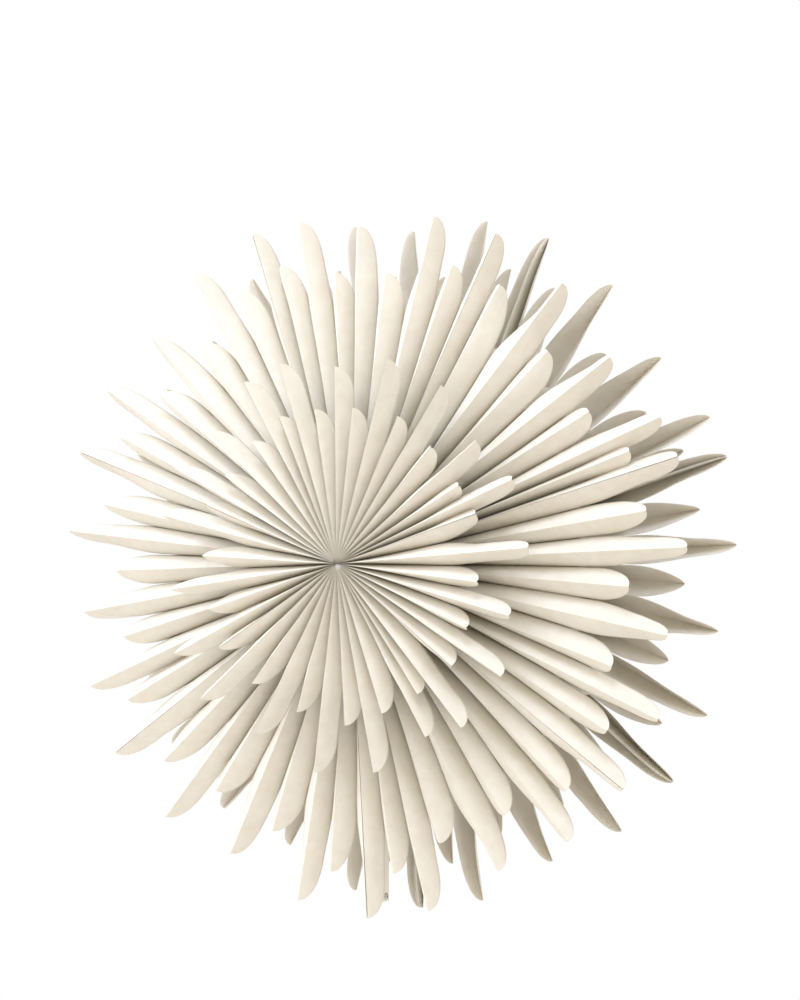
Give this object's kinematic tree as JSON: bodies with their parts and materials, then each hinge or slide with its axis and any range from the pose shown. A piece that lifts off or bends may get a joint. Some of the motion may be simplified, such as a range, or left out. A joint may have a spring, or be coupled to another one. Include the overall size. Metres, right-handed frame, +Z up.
{
  "type": "paper star lantern",
  "caption": "Round folded paper star for hanging: long and short rounded petals fan out round the hub, with a smaller folded rosette on it.",
  "frame": {"origin": "middle of the hub, on the star's axis and halfway between its front and its back", "axes": "+Y along the star's axis, from its front to its back; +Z up as pictured, with the closing seam and the eyelet at the bottom"},
  "size_m": [0.4923, 0.1732, 0.4912],
  "materials": {
    "paper": "matte",
    "tab_card": "matte",
    "eyelet_metal": "satin"
  },
  "bodies": {
    "root": {"back_rosette_strip_1": "paper", "back_rosette_strip_2": "paper", "back_rosette_strip_3": "paper", "back_rosette_strip_4": "paper", "back_rosette_strip_5": "paper", "back_rosette_strip_6": "paper", "back_rosette_strip_7": "paper", "book_1_sleeves_1": "paper", "book_1_sleeves_2": "paper", "book_1_sleeves_3": "paper", "book_1_sleeves_4": "paper", "book_1_sleeves_5": "paper", "book_2_sleeves_1": "paper", "book_2_sleeves_2": "paper", "book_2_sleeves_3": "paper", "book_2_sleeves_4": "paper", "book_2_sleeves_5": "paper", "book_3_sleeves_1": "paper", "book_3_sleeves_2": "paper", "book_3_sleeves_3": "paper", "book_3_sleeves_4": "paper", "book_3_sleeves_5": "paper", "book_4_sleeves_1": "paper", "book_4_sleeves_2": "paper", "book_4_sleeves_3": "paper", "book_4_sleeves_4": "paper", "book_4_sleeves_5": "paper", "book_5_sleeves_1": "paper", "book_5_sleeves_2": "paper", "book_5_sleeves_3": "paper", "book_5_sleeves_4": "paper", "book_5_sleeves_5": "paper", "book_6_sleeves_1": "paper", "book_6_sleeves_2": "paper", "book_6_sleeves_3": "paper", "book_6_sleeves_4": "paper", "book_6_sleeves_5": "paper", "book_7_sleeves_1": "paper", "book_7_sleeves_2": "paper", "book_7_sleeves_3": "paper", "book_7_sleeves_4": "paper", "book_7_sleeves_5": "paper", "closing_tab": "tab_card", "front_rosette_strip_1": "paper", "front_rosette_strip_2": "paper", "front_rosette_strip_3": "paper", "front_rosette_strip_4": "paper", "front_rosette_strip_5": "paper", "front_rosette_strip_6": "paper", "front_rosette_strip_7": "paper", "tab_eyelet": "eyelet_metal"}
  },
  "joints": []
}
